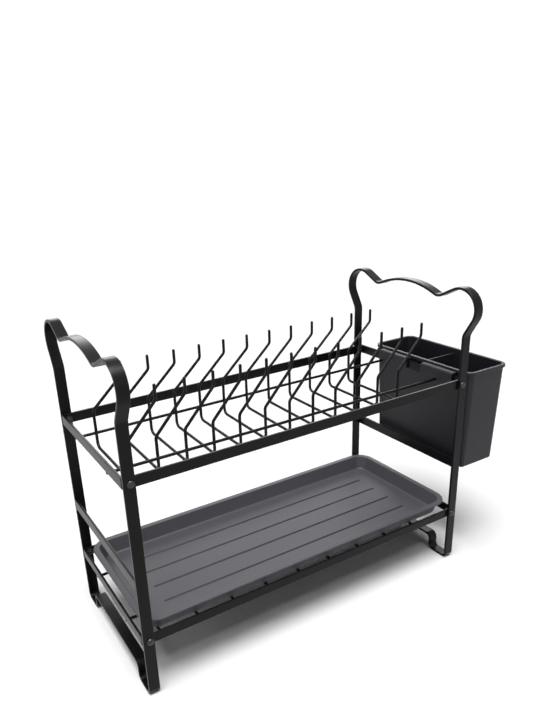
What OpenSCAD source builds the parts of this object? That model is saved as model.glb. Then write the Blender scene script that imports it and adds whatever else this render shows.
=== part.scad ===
// Two-tier dish drying rack: two bent flat-steel side frames with an ear-shaped top outline,
// an upper shelf with twelve plate wires, a lower shelf that carries a lift-out drip tray,
// and a cutlery cup that hooks over the right-hand rail. Millimetres, +Z up, +X to the right,
// front towards -Y. The origin is the middle of the floor area that the whole rack covers.

/* [Overall] */
// Width over the outer faces of the two side frames
rack_w = 420; // [340:5:560]
// Depth over the legs, front to rear
rack_d = 187; // [150:1:240]
// Height to the top of the ears
rack_h = 347; // [285:1:430]

/* [Side frames] */
// Width of the flat strip, along X
strip_w = 11.5; // [10:0.5:16]
// Thickness of the flat strip
strip_t = 3; // [2:0.5:4]
// Distance from a leg to the upright part of its foot
foot_run = 28; // [22:1:40]
// Height of the raised bar between the feet, at mid thickness
foot_rise = 20; // [16:1:30]
// Bend radius at the feet, at mid thickness
foot_bend_r = 6; // [4.5:0.5:7]
// Outer radius of the ears
ear_r = 24; // [18:0.5:30]
// How far the ears stand out beyond the legs
ear_overhang = 13.5; // [6:0.5:16]
// Height from the start of the neck bend to the middle of the ear
neck_drop = 33; // [30:1:44]
// Radius of the neck bend, at mid thickness
neck_r = 14; // [8:1:18]
// Distance from the leg's outer face to the notch beside the ear
notch_inset = 43.5; // [40:0.5:50]
// Depth of the notch below the top of the ears
notch_depth = 12.5; // [9:0.5:16]
// Radius of the notch, at mid thickness
notch_r = 12; // [8:1:16]
// How far the middle of the top stands above the notches
crown_rise = 10.5; // [6:0.5:14]

/* [Cross bars] */
// Height of the lower edge of the side cross bars
crossbar_z = 124; // [110:1:140]
// Height of the side cross bar strip
crossbar_h = 12; // [8:0.5:16]
// Thickness of the cross bar and rim strips
rail_t = 2.5; // [2:0.5:3]

/* [Upper shelf] */
// Distance from the top of the ears down to the top edge of the upper rim
upper_rim_drop = 106; // [95:1:120]
// Height of the upper rim strip
upper_rim_h = 11; // [9:0.5:16]
// Outside corner radius of both rims
rim_corner_r = 3.5; // [3:0.5:4]
// Distance of the upper lengthwise rods from the rack's front and rear
upper_rod_inset = 46; // [35:1:55]

/* [Plate wires] */
// Diameter of every round wire
wire_d = 3.2; // [2.5:0.1:4]
// Distance of the first cross wire from the left side
wire_start = 22.5; // [16:0.5:30]
// Distance of the last cross wire from the right side
wire_end = 61; // [50:1:70]
// Number of plate wires
plate_wire_count = 12; // [12:1:12]
// Depth of the wires' bottom run below the lengthwise rods
plate_wire_drop = 14.5; // [10:0.5:20]
// Height of the upright part of the front prongs above the bottom run
front_upright = 35.5; // [28:0.5:42]
// Height of the upright part of the rear prongs above the bottom run
rear_upright = 41; // [28:0.5:46]
// Height of the slanting part's upper end above the bottom run
slant_top = 72.5; // [60:0.5:80]
// Sideways reach of the slanting part
slant_reach = 34; // [20:0.5:36]
// Length of the upright tips
tip_length = 16; // [8:0.5:24]
// Bend radius of the wires, at mid thickness
wire_bend_r = 6; // [4:0.5:8]

/* [Lower shelf] */
// Height of the top edge of the lower rim
lower_rim_z = 70; // [62:1:80]
// Height of the lower rim strip
lower_rim_h = 10; // [9:0.5:14]
// Distance of the lower lengthwise rods from the rack's front and rear
lower_rod_inset = 50; // [35:1:60]
// Number of tray wires
tray_wire_count = 9; // [9:1:9]

/* [Drip tray] */
// Gap between each end of the tray and the rack's outer side faces
tray_end_gap = 4.5; // [3.5:0.5:10]
// Gap between the tray and the legs' inner faces, front and rear together
tray_depth_gap = 14; // [9:1:24]
// How far the tray sits forward of the middle
tray_forward = 4.5; // [0:0.5:4.5]
// Height of the tray
tray_h = 18; // [15:1:28]
// Wall thickness of the tray
tray_wall = 2; // [1.5:0.1:3]
// Width of the flat lip around the tray
tray_lip = 5; // [3:0.5:6]
// How far the tray's walls lean in from lip to base
tray_lean = 6; // [4:0.5:8]
// Outside corner radius of the tray's lip
tray_corner_r = 22; // [18:1:26]
// Distance between the middles of the floor grooves
groove_pitch = 28; // [22:0.5:30]
// Width of a floor groove
groove_w = 3; // [2:0.5:4]
// Depth of a floor groove
groove_depth = 0.8; // [0.5:0.1:1]
// Distance from the tray's end to the grooves' ends
groove_end = 40; // [30:1:60]

/* [Cutlery cup] */
// Length of the cup, along the rack's depth
cup_l = 160; // [130:1:165]
// Width of the cup, out from the rack
cup_w = 63; // [45:1:80]
// Height of the cup
cup_h = 128; // [95:1:150]
// How far the cup's rim stands above the upper rim's top edge
cup_rise = 5.5; // [4.5:0.5:8]
// Gap between the rack's side and the cup
cup_gap = 5; // [3:0.5:8]
// Distance of the cup's front wall from the rack's front
cup_start = 0; // [0:1:10]
// Wall thickness of the cup
cup_wall = 2; // [1.5:0.1:3]
// How far the cup's walls lean in from rim to base
cup_lean = 4.5; // [2:0.5:8]
// Corner radius of the cup
cup_corner_r = 9; // [8:0.5:18]
// Width of each of the two hooks
hook_w = 50; // [30:1:52]
// Gap between the two hooks
hook_gap = 24; // [12:1:34]
// How far the hooks reach down behind the rail
hook_drop = 10; // [7:0.5:10.5]
// Thickness of the hooks
hook_t = 3; // [2:0.5:3.5]
// Drop of the divider's top edge below the rim
divider_drop = 6; // [2:1:20]
// Number of drain slots in each compartment
drain_slots = 6; // [4:1:7]

/* [Fasteners] */
// Diameter of the screw thread
screw_d = 4; // [3:0.5:4]
// Diameter of the screw head
screw_head_d = 7.5; // [6:0.5:8]
// Height of the screw head
screw_head_h = 2.4; // [1.8:0.2:3]
// Distance of the screws from the side's outer face
screw_inset = 7; // [7:0.25:7.5]
// Width of the nuts across flats
nut_w = 7; // [5.5:0.5:7]
// Thickness of the nuts
nut_h = 3.2; // [2.4:0.2:4]

/* [Clearances] */
// Gap between pieces that rest on or hang from each other
rest_gap = 0.3; // [0.2:0.05:0.5]
// Extra diameter of a hole over its screw
hole_play = 0.3; // [0.2:0.05:0.5]
// Extra diameter of a nut's bore over its screw
thread_play = 0.1; // [0.04:0.02:0.2]
// How far welded wires sink into each other
weld_sink = 0.2; // [0.1:0.05:0.3]

/* [Hidden] */
$fn = 48;
// Degrees between the points of a strip bend
arc_step = 6;
// Overlap that cuts run past a surface by
cut_past = 1;

// Side frame outline at mid thickness: [depth, height, radius], radius positive where the
// path, followed up the front leg and over the top, turns right
half_t = strip_t / 2;
ear_mid_y = ear_r - ear_overhang;
ear_mid_z = rack_h - ear_r;
neck_z = ear_mid_z - neck_drop;
notch_z = rack_h - notch_depth - half_t;
head_half = rack_d / 2 - notch_inset;
head_r = (head_half * head_half + crown_rise * crown_rise) / (2 * crown_rise) - notch_r;
foot_mid = half_t + foot_bend_r;
FRONT_BENDS = [
    [foot_mid, foot_mid, foot_bend_r],
    [half_t - neck_r, neck_z, -neck_r],
    [ear_mid_y, ear_mid_z, ear_r - half_t],
    [notch_inset, notch_z + notch_r, -notch_r]
];
HEAD_BEND = [[rack_d / 2, notch_z + crown_rise - head_r, head_r]];
FOOT_BENDS = [
    [foot_run + foot_bend_r, foot_rise - foot_bend_r, -foot_bend_r],
    [foot_run - foot_bend_r, foot_mid, foot_bend_r]
];
FRAME_BENDS = concat(
    FRONT_BENDS, HEAD_BEND, mirrored(reversed(FRONT_BENDS)), mirrored(reversed(FOOT_BENDS)), FOOT_BENDS
);

// Heights of the shelves and their wires
upper_rim_top = rack_h - upper_rim_drop;
upper_rim_bottom = upper_rim_top - upper_rim_h;
upper_rod_z = upper_rim_bottom - wire_d / 2 + weld_sink;
lower_rim_bottom = lower_rim_z - lower_rim_h;
lower_rod_z = lower_rim_bottom - wire_d / 2 + weld_sink;
wire_step = wire_d - weld_sink;
tray_wire_z = lower_rod_z + wire_step;
run_z = upper_rod_z - plate_wire_drop;
plate_pitch = (rack_w - wire_start - wire_end) / (plate_wire_count - 1);
tray_wire_pitch = (rack_w - wire_start - wire_end) / (tray_wire_count - 1);
rim_inner = strip_t + rail_t;

// What is left of a moulding's corner where its wall and lean use up the whole radius
least_corner_r = 0.5;

// Extra diameter and length of the swelling where a straight wire meets a bend
seam_swell = 0.04;
seam_length = 0.4;

// Tray places
tray_l = rack_w - 2 * tray_end_gap;
tray_d = rack_d - 2 * strip_t - tray_depth_gap;
tray_y = (rack_d - tray_d) / 2 - tray_forward;
tray_z = tray_wire_z + wire_d / 2 + rest_gap;
tray_floor_in = tray_lip + tray_lean;
groove_count = 4;

// Cup places
cup_x = rack_w + cup_gap;
cup_top = upper_rim_top + cup_rise;
cup_rim_h = 4;
cup_rim_out = 2;
hook_under = upper_rim_top + rest_gap;
hook_back = rack_w - rail_t - rest_gap;
hook_start = (cup_l - 2 * hook_w - hook_gap) / 2;
divider_y = cup_start + cup_l / 2;
slot_w = 3;
rib_h = 2;
rib_w = 3;

// Fastener places
screw_x = [screw_inset, rack_w - screw_inset];
nut_round = nut_w / cos(30);
screw_end = rim_inner + nut_h + 1;
driver_w = 1;
driver_depth = 1.2;

// Everything is drawn from the left side's outer face and the front legs' outer face, then
// moved so that the origin is the middle of the covered floor area
reach_x = cup_x + cup_w + cup_rim_out;

function two_digits(n) = str(n < 10 ? "0" : "", n);
PLATE_WIRES = [for (i = [1:plate_wire_count]) str("plate_wire_", two_digits(i))];
TRAY_WIRES = [for (i = [1:tray_wire_count]) str("tray_wire_", two_digits(i))];

// ---- Strip outlines made of arcs joined by their tangents ----

function reversed(list) = [for (i = [len(list) - 1:-1:0]) list[i]];
function mirrored(bends) = [for (b = bends) [rack_d - b[0], b[1], b[2]]];
function wrap_angle(a) = a - 360 * floor(a / 360);

// Direction of the straight stretch that leaves bend a and enters bend b
function heading(a, b) =
    let (dy = b[0] - a[0], dz = b[1] - a[1], dr = b[2] - a[2])
    atan2(dz, dy) + atan2(dr, sqrt(dy * dy + dz * dz - dr * dr));

function turn(a_in, a_out, r) = r > 0 ? -wrap_angle(a_in - a_out) : wrap_angle(a_out - a_in);

// Points of one face of the strip, a given distance outside the middle
function strip_face(bends, outside) = [
    for (i = [0:len(bends) - 1])
        let (
            bend = bends[i],
            a_in = heading(bends[(i + len(bends) - 1) % len(bends)], bend),
            a_out = heading(bend, bends[(i + 1) % len(bends)]),
            sweep = turn(a_in, a_out, bend[2]),
            steps = ceil(abs(sweep) / arc_step)
        )
        for (k = [0:steps])
            let (a = a_in + sweep * k / steps)
            [bend[0] - (bend[2] + outside) * sin(a), bend[1] + (bend[2] + outside) * cos(a)]
];

// ---- Round wire bent along straight stretches ----

function unit(v) = v / norm(v);
function bend_angle(a, b) = acos(a * b);

// How much of each stretch a bend of the given angle uses up
function bend_trim(angle) = wire_bend_r * tan(angle / 2);

// Slight swelling where a straight meets a bend, which joins the two
module wire_seam(z) {
    translate([0, 0, z - seam_length / 2]) cylinder(d = wire_d + seam_swell, h = seam_length);
}

// Straight wire between two points, cut short by a length at each end that meets a bend
module wire_rod(from, to, cut_start = 0, cut_end = 0) {
    run = to - from;
    straight = norm(run) - cut_start - cut_end;
    translate(from)
        rotate([0, acos(run[2] / norm(run)), atan2(run[1], run[0])])
            translate([0, 0, cut_start]) {
                cylinder(d = wire_d, h = straight);
                if (cut_start > 0) wire_seam(0);
                if (cut_end > 0) wire_seam(straight);
            }
}

// Bend at a corner, from heading a to heading b
module wire_bend(corner, a, b) {
    angle = bend_angle(a, b);
    out = unit(a * (a * b) - b);
    up = cross(out, a);
    translate(corner)
        multmatrix([
            [out[0], a[0], up[0], 0],
            [out[1], a[1], up[1], 0],
            [out[2], a[2], up[2], 0]
        ])
            translate([-wire_bend_r, -bend_trim(angle), 0])
                rotate_extrude(angle = angle) translate([wire_bend_r, 0]) circle(d = wire_d);
}

module bent_wire(corners) {
    last = len(corners) - 1;
    ways = [for (i = [1:last]) unit(corners[i] - corners[i - 1])];
    trims = [
        for (i = [0:last])
            i == 0 || i == last ? 0 : bend_trim(bend_angle(ways[i - 1], ways[i]))
    ];
    union() {
        for (i = [1:last]) wire_rod(corners[i - 1], corners[i], trims[i - 1], trims[i]);
        for (i = [1:last - 1]) wire_bend(corners[i], ways[i - 1], ways[i]);
    }
}

// ---- Shared shapes ----

module placed() translate([-reach_x / 2, -rack_d / 2, 0]) children();

module rounded_rect(w, d, corner_r) {
    r = max(corner_r, least_corner_r);
    translate([r, 0]) square([w - 2 * r, d]);
    translate([0, r]) square([w, d - 2 * r]);
    for (x = [r, w - r])
        for (y = [r, d - r]) translate([x, y]) circle(r = r);
}

// Bores along Y through the strips at the four corners of a shelf
module screw_holes(z) {
    for (x = screw_x)
        translate([x, -cut_past, z])
            rotate([-90, 0, 0])
                cylinder(d = screw_d + hole_play, h = rack_d + 2 * cut_past);
}

module side_frame(x) {
    placed()
        difference() {
            translate([x, 0, 0])
                rotate([90, 0, 90])
                    linear_extrude(strip_w)
                        difference() {
                            polygon(strip_face(FRAME_BENDS, half_t));
                            polygon(strip_face(FRAME_BENDS, -half_t));
                        }
            screw_holes(upper_rim_top - upper_rim_h / 2);
            screw_holes(lower_rim_z - lower_rim_h / 2);
        }
}

module crossbar(x) {
    placed() translate([x, strip_t, crossbar_z]) cube([rail_t, rack_d - 2 * strip_t, crossbar_h]);
}

module shelf_rim(bottom, h) {
    placed()
        difference() {
            translate([0, strip_t, bottom])
                linear_extrude(h)
                    difference() {
                        rounded_rect(rack_w, rack_d - 2 * strip_t, rim_corner_r);
                        translate([rail_t, rail_t])
                            rounded_rect(
                                rack_w - 2 * rail_t,
                                rack_d - 2 * rim_inner,
                                rim_corner_r - rail_t
                            );
                    }
            screw_holes(bottom + h / 2);
        }
}

// Lengthwise rod welded under a rim's two side strips
module shelf_rod(y, z) {
    placed() wire_rod([0, y, z], [rack_w, y, z]);
}

// From the front tip down, along under the rods, and up to the rear tip
module plate_wire(i) {
    x = wire_start + i * plate_pitch;
    front = upper_rod_inset + wire_step;
    rear = rack_d - front;
    placed()
        bent_wire([
            [x + slant_reach, front, run_z + slant_top + tip_length],
            [x + slant_reach, front, run_z + slant_top],
            [x, front, run_z + front_upright],
            [x, front, run_z],
            [x, rear, run_z],
            [x, rear, run_z + rear_upright],
            [x + slant_reach, rear, run_z + slant_top],
            [x + slant_reach, rear, run_z + slant_top + tip_length]
        ]);
}

module tray_wire(i) {
    x = wire_start + i * tray_wire_pitch;
    placed() wire_rod([x, rim_inner, tray_wire_z], [x, rack_d - rim_inner, tray_wire_z]);
}

// ---- Tray ----

module tray_slice(inset, z, h) {
    translate([inset, inset, z])
        linear_extrude(h)
            rounded_rect(tray_l - 2 * inset, tray_d - 2 * inset, tray_corner_r - inset);
}

// Solid between the slice at the lip and the slice at the base
module tray_block(inset, base_z) {
    skin = 0.1;
    hull() {
        tray_slice(tray_lip + inset, tray_h - skin, skin);
        tray_slice(tray_floor_in + inset, base_z, skin);
    }
}

module tray_grooves() {
    middle = tray_d / 2;
    for (i = [0:groove_count - 1])
        translate([
            groove_end,
            middle + (i - (groove_count - 1) / 2) * groove_pitch - groove_w / 2,
            tray_wall - groove_depth
        ])
            cube([tray_l - 2 * groove_end, groove_w, tray_wall]);
}

module drip_tray() {
    color([0.43, 0.42, 0.45])
        placed()
            translate([tray_end_gap, tray_y, tray_z])
                difference() {
                    union() {
                        tray_block(0, 0);
                        tray_slice(0, tray_h - tray_wall, tray_wall);
                    }
                    tray_block(tray_wall, tray_wall);
                    tray_slice(tray_lip + tray_wall, tray_h - tray_wall, 2 * tray_wall);
                    tray_grooves();
                }
}

// ---- Cutlery cup ----

module cup_slice(inset, z, h) {
    translate([inset, inset, z])
        linear_extrude(h) rounded_rect(cup_w - 2 * inset, cup_l - 2 * inset, cup_corner_r - inset);
}

module cup_block(inset, base_z) {
    skin = 0.1;
    hull() {
        cup_slice(inset, cup_h - skin, skin);
        cup_slice(inset + cup_lean, base_z, skin);
    }
}

// Outline of a hook across the rail, drawn in X and Z from the cup's top corner
module cup_hook() {
    reach = cup_x + cup_wall - hook_back + hook_t;
    top = cup_top - hook_under;
    translate([hook_back - hook_t - cup_x, 0, cup_h - top]) cube([reach, hook_w, hook_t]);
    translate([hook_back - hook_t - cup_x, 0, cup_h - top - hook_drop])
        cube([hook_t, hook_w, hook_drop]);
}

module cup_drains() {
    first = cup_lean + cup_wall;
    half_l = cup_l / 2 - first;
    pitch = half_l / drain_slots;
    for (side = [0, 1])
        for (i = [0:drain_slots - 1])
            translate([
                cup_corner_r,
                side * half_l + first + (i + 0.5) * pitch - slot_w / 2,
                rib_h - cut_past
            ])
                cube([cup_w - 2 * cup_corner_r, slot_w, cup_wall + 2 * cut_past]);
}

module cup_ribs() {
    first = cup_lean + cup_wall;
    pitch = (cup_l / 2 - first) / drain_slots;
    for (i = [1:2 * drain_slots - 1])
        translate([cup_corner_r, first + i * pitch - rib_w / 2, 0])
            cube([cup_w - 2 * cup_corner_r, rib_w, rib_h]);
}

module cutlery_cup() {
    color([0.17, 0.17, 0.19])
        placed()
            translate([cup_x, cup_start, cup_top - cup_h])
                union() {
                    difference() {
                        union() {
                            cup_block(0, rib_h);
                            translate([0, 0, cup_h - cup_rim_h])
                                linear_extrude(cup_rim_h)
                                    translate([-cup_rim_out, -cup_rim_out])
                                        rounded_rect(
                                            cup_w + 2 * cup_rim_out,
                                            cup_l + 2 * cup_rim_out,
                                            cup_corner_r + cup_rim_out
                                        );
                        }
                        cup_block(cup_wall, rib_h + cup_wall);
                        cup_slice(cup_wall, cup_h - cut_past, 2 * cut_past);
                        cup_drains();
                    }
                    translate([0, divider_y - cup_start - cup_wall / 2, rib_h + cup_wall])
                        cup_divider();
                    for (i = [0, 1])
                        translate([0, hook_start + i * (hook_w + hook_gap), 0]) cup_hook();
                    cup_ribs();
                }
}

// Upright plate across the cup, leaning with its walls
module cup_divider() {
    rise = cup_h - divider_drop - rib_h - cup_wall;
    lean = cup_lean * rise / (cup_h - rib_h);
    side = cup_wall / 2;
    foot = side + cup_lean;
    translate([0, cup_wall, 0])
        rotate([90, 0, 0])
            linear_extrude(cup_wall)
                polygon([[foot, 0], [cup_w - foot, 0], [cup_w - foot + lean, rise], [foot - lean, rise]]);
}

// ---- Fasteners ----

// Children stand at each corner screw of a shelf, pointing inwards along +Z
module at_screws(z) {
    placed()
        for (x = screw_x) {
            translate([x, 0, z]) rotate([-90, 0, 0]) children();
            translate([x, rack_d, z]) rotate([90, 0, 0]) children();
        }
}

module shelf_screws(z) {
    color([0.12, 0.12, 0.13])
        at_screws(z)
            difference() {
                union() {
                    translate([0, 0, -screw_head_h]) cylinder(d = screw_head_d, h = screw_head_h);
                    cylinder(d = screw_d, h = screw_end);
                }
                for (a = [0, 90])
                    rotate([0, 0, a])
                        translate([-screw_d / 2, -driver_w / 2, -screw_head_h - cut_past])
                            cube([screw_d, driver_w, driver_depth + cut_past]);
            }
}

module shelf_nuts(z) {
    color([0.12, 0.12, 0.13])
        at_screws(z)
            translate([0, 0, rim_inner])
                difference() {
                    rotate([0, 0, 30]) cylinder(d = nut_round, h = nut_h, $fn = 6);
                    translate([0, 0, -cut_past])
                        cylinder(d = screw_d + thread_play, h = nut_h + 2 * cut_past);
                }
}

module left_side_frame() color([0.1, 0.1, 0.11]) side_frame(0);
module right_side_frame() color([0.1, 0.1, 0.11]) side_frame(rack_w - strip_w);
module left_crossbar() color([0.1, 0.1, 0.11]) crossbar(0);
module right_crossbar() color([0.1, 0.1, 0.11]) crossbar(rack_w - rail_t);
module upper_shelf_rim() color([0.1, 0.1, 0.11]) shelf_rim(upper_rim_bottom, upper_rim_h);
module upper_front_rod() color([0.1, 0.1, 0.11]) shelf_rod(upper_rod_inset, upper_rod_z);
module upper_rear_rod() color([0.1, 0.1, 0.11]) shelf_rod(rack_d - upper_rod_inset, upper_rod_z);
module lower_shelf_rim() color([0.1, 0.1, 0.11]) shelf_rim(lower_rim_bottom, lower_rim_h);
module lower_front_rod() color([0.1, 0.1, 0.11]) shelf_rod(lower_rod_inset, lower_rod_z);
module lower_rear_rod() color([0.1, 0.1, 0.11]) shelf_rod(rack_d - lower_rod_inset, lower_rod_z);
module upper_shelf_screws() shelf_screws(upper_rim_top - upper_rim_h / 2);
module upper_shelf_nuts() shelf_nuts(upper_rim_top - upper_rim_h / 2);
module lower_shelf_screws() shelf_screws(lower_rim_z - lower_rim_h / 2);
module lower_shelf_nuts() shelf_nuts(lower_rim_z - lower_rim_h / 2);

left_side_frame();
right_side_frame();
left_crossbar();
right_crossbar();
upper_shelf_rim();
upper_front_rod();
upper_rear_rod();
for (i = [0:plate_wire_count - 1])
    color([0.1, 0.1, 0.11]) plate_wire(i);
lower_shelf_rim();
lower_front_rod();
lower_rear_rod();
for (i = [0:tray_wire_count - 1])
    color([0.1, 0.1, 0.11]) tray_wire(i);
drip_tray();
cutlery_cup();
upper_shelf_screws();
upper_shelf_nuts();
lower_shelf_screws();
lower_shelf_nuts();
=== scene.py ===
"""Looks of a two-tier dish drying rack: coated steel frame, drip tray and cutlery cup.

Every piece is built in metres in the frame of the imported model. Heights, ends and gaps come
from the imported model's own boxes, and each class names the sizes that those can't give.
"""
import logging
import math
from dataclasses import dataclass, field
from enum import Enum
from typing import Any, Iterable, Sequence

import bmesh
import bpy
from mathutils import Matrix, Vector


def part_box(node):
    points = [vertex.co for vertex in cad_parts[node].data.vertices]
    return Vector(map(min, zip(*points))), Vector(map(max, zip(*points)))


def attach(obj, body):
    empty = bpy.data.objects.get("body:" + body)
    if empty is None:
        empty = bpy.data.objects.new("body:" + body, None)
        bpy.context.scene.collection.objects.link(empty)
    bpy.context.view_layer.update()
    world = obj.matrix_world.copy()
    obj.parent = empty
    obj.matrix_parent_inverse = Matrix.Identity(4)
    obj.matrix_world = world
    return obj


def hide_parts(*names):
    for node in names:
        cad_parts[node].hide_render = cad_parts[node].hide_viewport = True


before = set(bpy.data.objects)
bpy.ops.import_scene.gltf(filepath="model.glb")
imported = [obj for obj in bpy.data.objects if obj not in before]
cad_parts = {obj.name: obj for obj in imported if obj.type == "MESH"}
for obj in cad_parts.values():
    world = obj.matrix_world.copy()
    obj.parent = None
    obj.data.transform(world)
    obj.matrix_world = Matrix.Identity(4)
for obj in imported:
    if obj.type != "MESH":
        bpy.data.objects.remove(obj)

LOG = logging.getLogger("dish_rack")
MM = 0.001
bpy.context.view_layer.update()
RACK, TRAY, CUP = "rack", "drip_tray", "cutlery_cup"
# Mark of the faces that a cut leaves; the plastic finishes paint shade on them.
CUT_MARK = "cut_face"
ZERO = (0.0, 0.0, 0.0)

# Least radii of a corner and of a turned shape's tips, so that no two points of a ring meet.
LEAST_CORNER = 0.1 * MM
LEAST_TIP = 0.02 * MM

Colour = tuple[float, float, float]


def span(node: str) -> tuple[Vector, Vector]:
    """Lowest and highest corner of a CAD node.

    Args:
        node: name of the node.

    Returns:
        The two corners, in metres.
    """
    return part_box(node)


def middle(node: str) -> Vector:
    """Middle of a CAD node's box."""
    low, high = span(node)
    return (low + high) / 2


class Axis(Enum):
    """Direction that a strip's width lies along."""

    X = (1.0, 0.0, 0.0)
    Y = (0.0, 1.0, 0.0)
    Z = (0.0, 0.0, 1.0)


# ---------------------------------------------------------------------------------------
# Node trees


class Term:
    """A shader socket that Python arithmetic works on."""

    def __init__(self, shader: "Shader", socket: bpy.types.NodeSocket) -> None:
        """Wraps one output socket of a shader's tree."""
        self.shader = shader
        self.socket = socket

    def _math(self, operation: str, first: "Term | float", second: "Term | float") -> "Term":
        """Adds one Math node.

        Args:
            operation: the node's operation.
            first: its first value.
            second: its second value.

        Returns:
            The node's result.
        """
        node = self.shader.node(
            "ShaderNodeMath", {"operation": operation}, {0: first, 1: second}
        )
        return Term(self.shader, node.outputs[0])

    def __add__(self, other: "Term | float") -> "Term":
        """self + other"""
        return self._math("ADD", self, other)

    def __radd__(self, other: float) -> "Term":
        """other + self"""
        return self._math("ADD", other, self)

    def __sub__(self, other: "Term | float") -> "Term":
        """self - other"""
        return self._math("SUBTRACT", self, other)

    def __rsub__(self, other: float) -> "Term":
        """other - self"""
        return self._math("SUBTRACT", other, self)

    def __mul__(self, other: "Term | float") -> "Term":
        """self * other"""
        return self._math("MULTIPLY", self, other)

    def __rmul__(self, other: float) -> "Term":
        """other * self"""
        return self._math("MULTIPLY", other, self)


def connect(tree: bpy.types.NodeTree, target: bpy.types.NodeSocket, value: Any) -> None:
    """Links a socket or sets its value.

    Args:
        tree: the tree that the socket is in.
        target: the input socket.
        value: a Term, an output socket, a list of output sockets, or a plain value.
    """
    if isinstance(value, Term):
        tree.links.new(value.socket, target)
    elif isinstance(value, bpy.types.NodeSocket):
        tree.links.new(value, target)
    elif isinstance(value, list):
        for source in value:
            tree.links.new(source, target)
    else:
        target.default_value = value


def add_node(
    tree: bpy.types.NodeTree, kind: str, settings: dict[str, Any], sockets: dict[Any, Any]
) -> bpy.types.Node:
    """Adds a node to a tree.

    Args:
        tree: the shader or geometry tree.
        kind: the node's type.
        settings: its settings, set first; "stops" holds a ramp's stops.
        sockets: values or links by the socket's name, identifier or number.

    Returns:
        The new node.
    """
    node = tree.nodes.new(kind)
    for name, value in settings.items():
        if name == "stops":
            for number, (place, grey) in enumerate(value):
                stops = node.color_ramp.elements
                stop = stops[number] if number < len(stops) else stops.new(place)
                stop.position = place
                stop.color = (grey, grey, grey, 1.0)
        else:
            setattr(node, name, value)
    for key, value in sockets.items():
        if isinstance(key, int):
            target = node.inputs[key]
        else:
            target = next(s for s in node.inputs if key in (s.identifier, s.name) and s.enabled)
        connect(tree, target, value)
    return node


class Shader:
    """Node tree of one material round a Principled shader."""

    def __init__(self, name: str, **fixed: Any) -> None:
        """Makes the material.

        Args:
            name: the material's name.
            fixed: values that are the same all over the surface, by socket name with
                underscores for spaces.
        """
        self.material = bpy.data.materials.new(name)
        self.material.use_nodes = True
        self.tree = self.material.node_tree
        self.tree.nodes.clear()
        values = {key.replace("_", " "): value for key, value in fixed.items()}
        self.surface = self.node("ShaderNodeBsdfPrincipled", {}, values)
        self.node(
            "ShaderNodeOutputMaterial", {}, {"Surface": self.surface.outputs["BSDF"]}
        )
        self.place = self.node("ShaderNodeTexCoord", {}, {}).outputs["Object"]

    def node(self, kind: str, settings: dict[str, Any], sockets: dict[Any, Any]) -> bpy.types.Node:
        """Adds one node, as add_node does."""
        return add_node(self.tree, kind, settings, sockets)

    def feed(self, **varying: Any) -> None:
        """Links what varies over the surface to the shader's sockets, by name."""
        for key, value in varying.items():
            connect(self.tree, self.surface.inputs[key.replace("_", " ")], value)

    def noise(self, per_metre: float, detail: float = 2.0, rough: float = 0.5) -> Term:
        """Noise over the piece.

        Args:
            per_metre: how many patches fit in a metre.
            detail: number of finer layers.
            rough: weight of the finer layers.

        Returns:
            A value from 0 to 1.
        """
        node = self.node(
            "ShaderNodeTexNoise",
            {},
            {"Vector": self.place, "Scale": per_metre, "Detail": detail, "Roughness": rough},
        )
        return Term(self, node.outputs["Fac"])

    def stretched_noise(self, per_metre: Sequence[float], detail: float = 2.0) -> Term:
        """Noise that is drawn out along the axes.

        Args:
            per_metre: how many patches fit in a metre along X, Y and Z.
            detail: number of finer layers.

        Returns:
            A value from 0 to 1.
        """
        spread = self.node(
            "ShaderNodeMapping", {}, {"Vector": self.place, "Scale": tuple(per_metre)}
        )
        node = self.node(
            "ShaderNodeTexNoise",
            {},
            {"Vector": spread.outputs["Vector"], "Scale": 1.0, "Detail": detail},
        )
        return Term(self, node.outputs["Fac"])

    def cells(self, per_metre: float) -> Term:
        """Distance to the nearest of many scattered points, as in a sprayed grain."""
        node = self.node(
            "ShaderNodeTexVoronoi", {}, {"Vector": self.place, "Scale": per_metre}
        )
        return Term(self, node.outputs["Distance"])

    def mark(self, name: str) -> Term:
        """Reads a mark that the mesh carries on its faces."""
        node = self.node("ShaderNodeAttribute", {"attribute_name": name}, {})
        return Term(self, node.outputs["Fac"])

    def ramp(self, value: Term, *stops: tuple[float, float]) -> Term:
        """Passes a value through a ramp of grey stops.

        Args:
            value: what is passed.
            stops: place and grey of each stop.

        Returns:
            The ramp's grey.
        """
        node = self.node("ShaderNodeValToRGB", {"stops": stops}, {"Fac": value})
        return Term(self, node.outputs["Color"])

    def blend(self, share: Term, low: Any, high: Any) -> bpy.types.NodeSocket:
        """Mixes two colours.

        Args:
            share: weight of the second colour.
            low: first colour, or the output socket of another mix.
            high: second colour.

        Returns:
            The mixed colour's socket.
        """
        node = self.node(
            "ShaderNodeMix",
            {"data_type": "RGBA"},
            {
                "Factor_Float": share,
                "A_Color": low if isinstance(low, bpy.types.NodeSocket) else (*low, 1.0),
                "B_Color": high if isinstance(high, bpy.types.NodeSocket) else (*high, 1.0),
            },
        )
        return next(s for s in node.outputs if s.identifier == "Result_Color")

    def bump(self, height: Term, depth: float, strength: float = 1.0) -> bpy.types.NodeSocket:
        """Turns a height into a normal.

        Args:
            height: value from 0 to 1.
            depth: real height of 1, in metres.
            strength: share of the bump that shows.

        Returns:
            The normal's socket.
        """
        node = self.node(
            "ShaderNodeBump", {}, {"Height": height, "Distance": depth, "Strength": strength}
        )
        return node.outputs["Normal"]


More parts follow.
